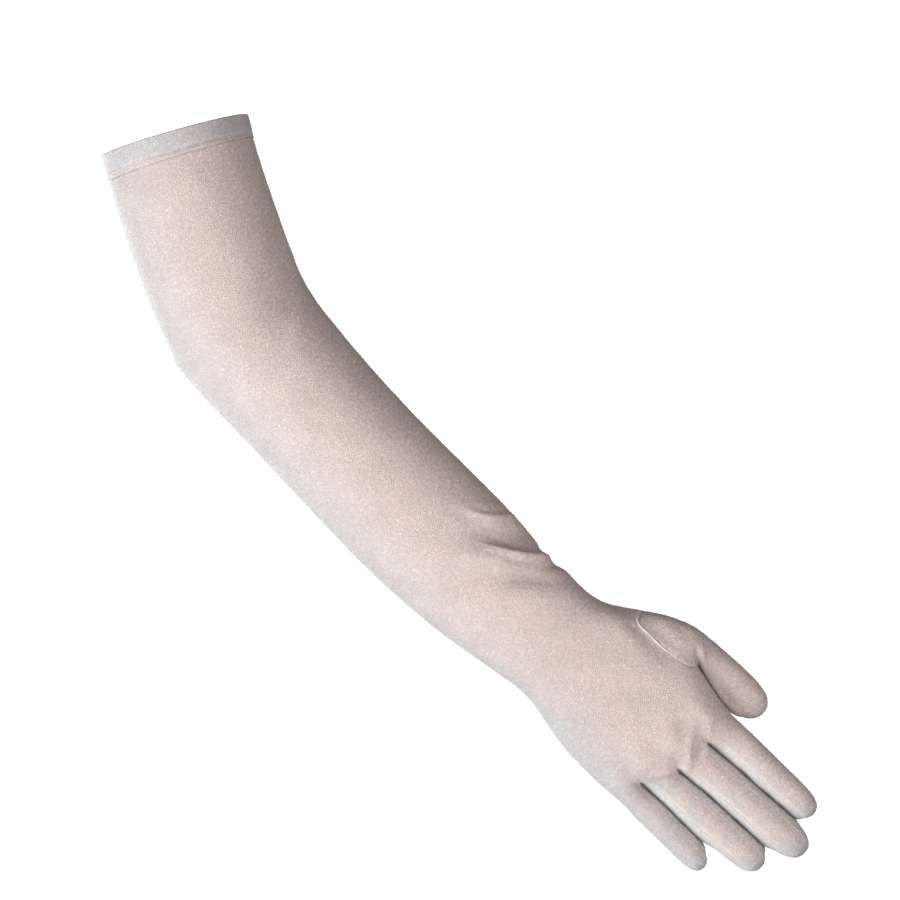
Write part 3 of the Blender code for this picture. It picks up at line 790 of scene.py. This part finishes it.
def folded_hem(name):
    """The hem's outer side, with its top edge turned over to the inside and down."""
    band = outer_side("cuff_hem", HEM_WALL)
    to_quads(band)
    for drop in (HEM_STITCH - HEM_STITCH_WIDTH, HEM_STITCH, HEM_STITCH + HEM_STITCH_WIDTH):
        everything = band.verts[:] + band.edges[:] + band.faces[:]
        level = OPENING_AXIS * -drop
        bmesh.ops.bisect_plane(band, geom=everything, plane_co=level, plane_no=OPENING_AXIS)
    band.normal_update()
    middle = -0.5 * HEM_DEPTH
    rim = [edge for edge in band.edges if edge.is_boundary]
    top = [edge for edge in rim if edge.verts[0].co.dot(OPENING_AXIS) > middle]
    low = {point for edge in rim if edge not in top for point in edge.verts}
    for point in low:
        point.co += point.normal * HEM_PROUD - OPENING_AXIS * HEM_OVERLAP
    starts = {point: (point.co.copy(), -point.normal) for edge in top for point in edge.verts}
    for step in HEM_FOLD:
        grown = bmesh.ops.extrude_edge_only(band, edges=top)["geom"]
        top = [element for element in grown if isinstance(element, bmesh.types.BMEdge)]
        ends = {}
        for point in {point for edge in top for point in edge.verts}:
            others = [edge.other_vert(point) for edge in point.link_edges]
            place, inward = next(starts[other] for other in others if other in starts)
            point.co = place + inward * step.inward + OPENING_AXIS * step.rise
            ends[point] = (place, inward)
        starts = ends

    # Extruding leaves its faces in an order that changes from run to run.
    for elements in (band.verts, band.edges, band.faces):
        elements.sort(key=order_of)
    return in_scene(name, smooth_mesh(name, band))


def from_axis(place):
    """The way from the opening's axis to a place."""
    return place - OPENING_AXIS * place.dot(OPENING_AXIS)


def wrap_cut(piece):
    """Lays a ring of cloth flat, and returns its length round and its area."""
    mesh = piece.data
    side = OPENING_AXIS.cross(Vector((0.0, 1.0, 0.0)))
    reach = math.fsum(from_axis(point.co).length for point in mesh.vertices)
    reach /= len(mesh.vertices)
    layer = mesh.uv_layers.new(name="cut")
    for face in mesh.polygons:
        turns = []
        for index in face.vertices:
            place = mesh.vertices[index].co
            turns.append(math.atan2(place.y, place.dot(side)))
        wraps = max(turns) - min(turns) > math.pi
        for loop, turn in zip(face.loop_indices, turns):
            around = turn + 2.0 * math.pi if wraps and turn < 0.0 else turn
            place = mesh.vertices[mesh.loops[loop].vertex_index].co
            layer.uv[loop].vector = (around * reach, place.dot(OPENING_AXIS))
    return 2.0 * math.pi * reach, math.fsum(face.area for face in mesh.polygons)


hem = folded_hem("hem_band")
refine(hem)
hem_round, hem_area = wrap_cut(hem)
hem_material = knit("hem knit", WARM_YARN, HEM_YARN, HEM_GAP_SHADE, HEM_ALPHA)
hem_places = places_of(hem.data)
hem_normals = normals_of(hem.data)
above = hem_places @ np.array(OPENING_AXIS) + HEM_STITCH
beside = hem_places - np.outer(hem_places @ np.array(OPENING_AXIS), OPENING_AXIS)
outside = (beside * hem_normals).sum(axis=1) > 0.0
stitched = np.exp(-((above / HEM_STITCH_WIDTH) ** 2))
swell = HEM_PUFF * np.clip(above / HEM_PUFF_START, 0.0, 1.0)
swell *= 1.0 + HEM_PUFF_CHANGE * speckle(hem_places, HEM_PUFF_SCALE)
swell -= HEM_GROOVE * stitched
hem_places += hem_normals * (swell * outside)[:, None]
hem.data.vertices.foreach_set("co", hem_places.ravel())
mark(hem.data, "near_seam", stitched)
mark(hem.data, "cool", np.clip(above / HEM_GREY_RISE + HEM_GREY, *HEM_GREY_LIMITS))
# Speck strength on the hem, the same all round.
mark(hem.data, "shade_side_specks", np.full(len(above), HEM_SPECKS_SHARE))
finish_cloth(hem, hem_material, "hem", (hem_round, hem_area / hem_round), hem_area, "cuff_hem")

# The seams: the pieces are sewn with their edges turned in, which leaves a fine raised line.
# The seam round the thumb's base is the palest and fullest. Short slanted stitches cross them.

SEAM_RADIUS = 0.00016
THUMB_SEAM_RADIUS = 0.00066
SEAM_JOIN = 0.0030
SEAM_GIVE = 0.0030
SEAM_SHARED = 0.0022
SEAM_SHORTEST = 0.0060
HEM_CLEAR = 0.0008
SEAM_YARN = (0.660, 0.595, 0.575)
THUMB_SEAM_YARN = (0.730, 0.690, 0.680)
THUMB_SEAM_LOW = (-0.0160, -0.0300, -0.4060)
THUMB_SEAM_HIGH = (-0.0062, 0.0010, -0.3600)
STITCH_PITCH = 0.0024
STITCH_REACH = 0.00070
STITCH_LEAN = 0.00030
STITCH_RISE = 0.00030
STITCH_SINK = 0.00010
STITCH_SHOULDER = 0.4
NO_LENGTH = 1e-9
STITCH_RADIUS = 0.00011
STITCH_THREAD = (0.760, 0.730, 0.720)
THUMB_SEAM_FULL = 1.25
THUMB_SEAM_LOSS = 0.95
THUMB_SEAM_FADE = 1.5
THUMB_SEAM_CHANGE = 0.60
THUMB_SEAM_SCALE = 360.0
GRAIN_SCALE = 1500.0
GRAIN_SHADES = (0.72, 1.12)
GRAIN_RELIEF = 0.0001
GRAIN_STRENGTH = 0.5
THREAD_ROUGHNESS = 0.7
THREAD_SHEEN = 0.3


def draw_together(cloths):
    """Moves the edges of sheets that are sewn together until they meet."""
    places = [places_of(mesh) for mesh in cloths]
    edges = [spots[rim_points(mesh)] for spots, mesh in zip(places, cloths)]
    for index, mesh in enumerate(cloths):
        beyond = tree_of(np.vstack([edge for other, edge in enumerate(edges) if other != index]))
        pull = np.zeros((len(edges[index]), 3))
        for spot, place in enumerate(edges[index]):
            near, _, gap = beyond.find(place)
            if gap < SEAM_JOIN:
                pull[spot] = 0.5 * (np.array(near) - place)
        own = tree_of(edges[index])
        moved = places[index].copy()
        for spot, place in enumerate(places[index]):
            _, nearest, gap = own.find(place)
            if gap < SEAM_GIVE:
                moved[spot] += pull[nearest] * (1.0 - gap / SEAM_GIVE) ** 2
        mesh.vertices.foreach_set("co", moved.ravel())
        mesh.update()


def rim_loops(mesh):
    """The rims of a sheet, each as its places in order."""
    beside = {}
    for one, other in rim_edges(mesh):
        beside.setdefault(one, []).append(other)
        beside.setdefault(other, []).append(one)
    loops = []
    waiting = set(beside)
    while waiting:
        loop = [waiting.pop()]
        ahead = beside[loop[0]]
        while ahead:
            loop.append(ahead[0])
            waiting.discard(ahead[0])
            ahead = [point for point in beside[ahead[0]] if point in waiting]
        loops.append(np.array([mesh.vertices[index].co for index in loop]))
    return loops


def steps_along(run):
    """The lengths of the steps from place to place."""
    return np.linalg.norm(np.diff(run, axis=0), axis=1)


def split_runs(loop, keep):
    """The stretches of a closed rim that are kept, each as places in order."""
    if keep.all():
        return [np.vstack([loop, loop[:1]])]
    first = int(np.argmin(keep))
    loop = np.roll(loop, -first, axis=0)
    keep = np.roll(keep, -first)
    runs = []
    run = []
    for place, kept in zip(loop, keep):
        if kept:
            run.append(place)
        elif run:
            runs.append(np.array(run))
            run = []
    if run:
        runs.append(np.array(run))
    return [run for run in runs if steps_along(run).sum() > SEAM_SHORTEST]


def seam_runs(groups):
    """Lines midway between the rims that are sewn together, each stretch once."""
    sewn = []
    for index, loops in enumerate(groups):
        others = [group for other, group in enumerate(groups) if other != index]
        tree = tree_of(np.vstack([loop for group in others for loop in group]))
        done = tree_of(np.vstack(sewn)) if sewn else None
        found = []
        for loop in loops:
            keep = loop @ np.array(OPENING_AXIS) < -HEM_DEPTH - HEM_CLEAR
            halfway = loop.copy()
            for spot, place in enumerate(loop):
                near, _, gap = tree.find(place)
                if gap < SEAM_JOIN:
                    halfway[spot] = 0.5 * (place + np.array(near))
                if done and done.find(place)[2] < SEAM_SHARED:
                    keep[spot] = False
            found += split_runs(halfway, keep)
        sewn += found
    return sewn


def threads(name, runs, radius, thickness=None):
    """Round threads along some runs of places, each as thick as a function of place says."""
    curve = bpy.data.curves.new(name, "CURVE")
    curve.dimensions = "3D"
    curve.bevel_depth = radius
    curve.bevel_resolution = 1
    curve.use_fill_caps = True
    for run in runs:
        line = curve.splines.new("POLY")
        line.points.add(len(run) - 1)
        line.points.foreach_set("co", np.hstack([run, np.ones((len(run), 1))]).ravel())
        if thickness:
            line.points.foreach_set("radius", thickness(run))
    return in_scene(name, curve)


def thread_look(name, colour):
    """Sewing thread or an edge of bunched knit."""
    material = bpy.data.materials.new(name)
    nodes = Nodes(material)
    grain = nodes.noise(nodes.add("TexCoord").outputs["Object"], GRAIN_SCALE, 2.0)[0]
    grey = nodes.grey(nodes.ramp(grain, *NOISE_SPREAD, *GRAIN_SHADES))
    nodes.shader_input("Base Color", nodes.mix(1.0, opaque(colour), grey, "MULTIPLY"))
    relief = {"Height": grain, "Distance": GRAIN_RELIEF, "Strength": GRAIN_STRENGTH}
    nodes.shader_input("Normal", nodes.add("Bump", relief).outputs[0])
    nodes.shader_input("Roughness", THREAD_ROUGHNESS)
    nodes.shader_input("Sheen Weight", THREAD_SHEEN)
    return material


def sew_on(piece, material):
    """Gives a thread its material and place in the frame."""
    piece.data.materials.append(material)
    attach(piece, "root")


def evened(run, pitch):
    """A run of places, respaced evenly."""
    reached = np.concatenate([[0.0], np.cumsum(steps_along(run))])
    wanted = np.linspace(0.0, reached[-1], max(2, int(reached[-1] / pitch) + 1))
    return np.stack([np.interp(wanted, reached, run[:, axis]) for axis in range(3)], axis=1)


def stitches(runs, cloths):
    """Short slanted stitches across some seams, on the nearest cloth's outer side."""
    tree = tree_of(np.vstack([places_of(mesh) for mesh in cloths]))
    normals = np.vstack([normals_of(mesh) for mesh in cloths])
    bars = []
    for run in runs:
        spaced = evened(run, STITCH_PITCH)
        along = np.gradient(spaced, axis=0)
        along /= np.linalg.norm(along, axis=1)[:, None]
        for place, ahead in zip(spaced, along):
            up = normals[tree.find(place)[1]]
            side = np.cross(ahead, up)
            side /= max(np.linalg.norm(side), NO_LENGTH)
            end = side * STITCH_REACH + ahead * STITCH_LEAN
            high = place + up * STITCH_RISE
            low = place - up * STITCH_SINK
            shoulder = end * STITCH_SHOULDER
            bars.append(np.array([low - end, high - shoulder, high + shoulder, low + end]))
    return bars


def on_thumb_seam(run):
    """Which places of a seam lie along the thumb's base on the back of the hand."""
    low = np.array(THUMB_SEAM_LOW)
    high = np.array(THUMB_SEAM_HIGH)
    return ((run > low) & (run < high)).all(axis=1)


def uneven(run):
    """The bunched seam's thickness along the thumb's base, which swells and fades."""
    high = THUMB_SEAM_HIGH[2]
    drop = np.clip((high - run[:, 2]) / (high - THUMB_SEAM_LOW[2]), 0.0, 1.0)
    full = THUMB_SEAM_FULL - THUMB_SEAM_LOSS * drop**THUMB_SEAM_FADE
    return full * (1.0 + THUMB_SEAM_CHANGE * speckle(run, THUMB_SEAM_SCALE))


draw_together([back.data, palm.data, *thumb_halves, *strips])
thumb_loops = [loop for mesh in thumb_halves for loop in rim_loops(mesh)]
strip_loops = [loop for mesh in strips for loop in rim_loops(mesh)]
runs = seam_runs([rim_loops(back.data), rim_loops(palm.data), thumb_loops, strip_loops])
thumb_runs = []
plain_runs = []
for run in runs:
    chosen = on_thumb_seam(run)
    if chosen.any():
        thumb_runs += split_runs(run, chosen)
        plain_runs += split_runs(run, ~chosen)
    else:
        plain_runs.append(run)
seams = threads("seams", plain_runs, SEAM_RADIUS)
sew_on(seams, thread_look("seam yarn", SEAM_YARN))
thumb_seam = threads("thumb_seam", thumb_runs, THUMB_SEAM_RADIUS, uneven)
sew_on(thumb_seam, thread_look("thumb seam yarn", THUMB_SEAM_YARN))
bars = stitches(runs, [back.data, palm.data])
seam_stitches = threads("seam_stitches", bars, STITCH_RADIUS)
sew_on(seam_stitches, thread_look("stitch thread", STITCH_THREAD))

# The hem is held by a narrow zigzag of pale thread, which runs round just above its raw edge.

ZIGZAG_PITCH = 0.0011
ZIGZAG_REACH = 0.00065
ZIGZAG_RADIUS = 0.00017
ZIGZAG_PROUD = 0.00012
OUTSIDE_HEM = 0.1

hem_face = faced_by([hem.data])[0]
depth_way = Vector((0.0, 1.0, 0.0))
across_opening = OPENING_AXIS.cross(depth_way)
zigzag = []
turns = 2 * (int(hem_round / ZIGZAG_PITCH) // 2)
for step in range(turns + 1):
    turn = 2.0 * math.pi * step / turns
    outward = across_opening * math.cos(turn) + depth_way * math.sin(turn)
    height = -HEM_STITCH + ZIGZAG_REACH * (1.0 if step % 2 else -1.0)
    start = OPENING_AXIS * height + outward * OUTSIDE_HEM
    found = hem_face.ray_cast(start, -outward)[0]
    zigzag.append(np.array(found + outward * ZIGZAG_PROUD))
hem_stitches = threads("hem_stitches", [np.array(zigzag)], ZIGZAG_RADIUS)
sew_on(hem_stitches, thread_look("hem thread", STITCH_THREAD))

# The camera looks at the glove's back from in front, rolled so that the sleeve runs from the
# upper left down to the fingers at the lower right.

CAMERA_AIM = (-0.0149, 0.0, -0.2296)
CAMERA_FIELD = 0.4968
CAMERA_LENS = 200.0
CAMERA_SENSOR = 36.0
CAMERA_ROLL = 45.0
CAMERA_NEAR = 0.01

sight = bpy.data.cameras.new("camera")
sight.lens = CAMERA_LENS
sight.sensor_width = CAMERA_SENSOR
sight.clip_start = CAMERA_NEAR
camera = in_scene("camera", sight)
distance = CAMERA_FIELD * CAMERA_LENS / CAMERA_SENSOR
camera.location = Vector(CAMERA_AIM) - Vector((0.0, distance, 0.0))
camera.rotation_euler = (math.radians(90.0), math.radians(CAMERA_ROLL), 0.0)
bpy.context.scene.camera = camera

# A plain pale studio stands well clear of the glove: one floor of paper that bends up into a
# round wall, so that it is behind the glove from every side. Soft light comes from the left.

STUDIO_RADIUS = 4.0
STUDIO_DROP = 1.8
STUDIO_BEND = 1.0
STUDIO_HEIGHT = 5.0
STUDIO_STEPS = 48
STUDIO_WELD = 0.001
BEND_STEPS = 12
PAPER = (0.92, 0.92, 0.92)
PAPER_ROUGHNESS = 0.9
PAPER_LIGHT = (1.0, 1.0, 1.0)
PAPER_GLOW = 1.0


def round_studio():
    """A round floor of paper with a wall that bends up from it."""
    studio = bmesh.new()
    line = [Vector((0.0, 0.0, -STUDIO_DROP))]
    for step in range(BEND_STEPS + 1):
        turn = math.radians(90.0 * step / BEND_STEPS)
        out = STUDIO_RADIUS - STUDIO_BEND + STUDIO_BEND * math.sin(turn)
        up = STUDIO_BEND - STUDIO_BEND * math.cos(turn) - STUDIO_DROP
        line.append(Vector((out, 0.0, up)))
    line.append(Vector((STUDIO_RADIUS, 0.0, STUDIO_HEIGHT)))
    points = [studio.verts.new(place) for place in line]
    edges = [studio.edges.new(pair) for pair in zip(points, points[1:])]
    bmesh.ops.spin(
        studio,
        geom=points + edges,
        cent=(0.0, 0.0, 0.0),
        axis=(0.0, 0.0, 1.0),
        angle=2.0 * math.pi,
        steps=STUDIO_STEPS,
        use_merge=True,
    )
    bmesh.ops.remove_doubles(studio, verts=studio.verts, dist=STUDIO_WELD)
    return in_scene("paper", smooth_mesh("paper", studio))


paper = round_studio()
paper_look = bpy.data.materials.new("paper")
paper_nodes = Nodes(paper_look)
paper_nodes.shader_input("Base Color", opaque(PAPER))
paper_nodes.shader_input("Roughness", PAPER_ROUGHNESS)
paper_nodes.shader_input("Emission Color", opaque(PAPER_LIGHT))
paper_nodes.shader_input("Emission Strength", PAPER_GLOW)
paper.data.materials.append(paper_look)
paper.visible_diffuse = False
paper.visible_glossy = False
paper.visible_transmission = False

# A soft light. x, y, z: where it stands. size: its side. power: in watts.
Lamp = namedtuple("Lamp", "name x y z size power red green blue")
LAMPS = (
    Lamp("key", -1.25, -1.00, 0.34, 1.10, 41.0, 0.985, 0.995, 1.00),
    Lamp("front", -0.30, -1.05, -0.70, 0.60, 7.0, 1.00, 0.975, 0.965),
    Lamp("side", 1.20, -0.60, -0.62, 0.80, 7.0, 1.00, 0.900, 0.890),
    Lamp("rear", -0.60, 1.20, 0.30, 0.80, 18.0, 0.95, 0.980, 1.000),
)
AMBIENT = 0.11
AMBIENT_COLOUR = (1.0, 0.95, 0.93)

for lamp in LAMPS:
    light = bpy.data.lights.new(lamp.name, "AREA")
    light.shape = "SQUARE"
    light.size = lamp.size
    light.energy = lamp.power
    light.color = (lamp.red, lamp.green, lamp.blue)
    holder = in_scene(lamp.name, light)
    holder.location = (lamp.x, lamp.y, lamp.z)
    ahead = Vector(CAMERA_AIM) - holder.location
    holder.rotation_euler = ahead.to_track_quat("-Z", "Y").to_euler()

sky = bpy.data.worlds.new("studio")
sky.use_nodes = True
background = sky.node_tree.nodes["Background"]
background.inputs["Color"].default_value = opaque(AMBIENT_COLOUR)
background.inputs["Strength"].default_value = AMBIENT
bpy.context.scene.world = sky
bpy.context.scene.view_settings.view_transform = "Standard"
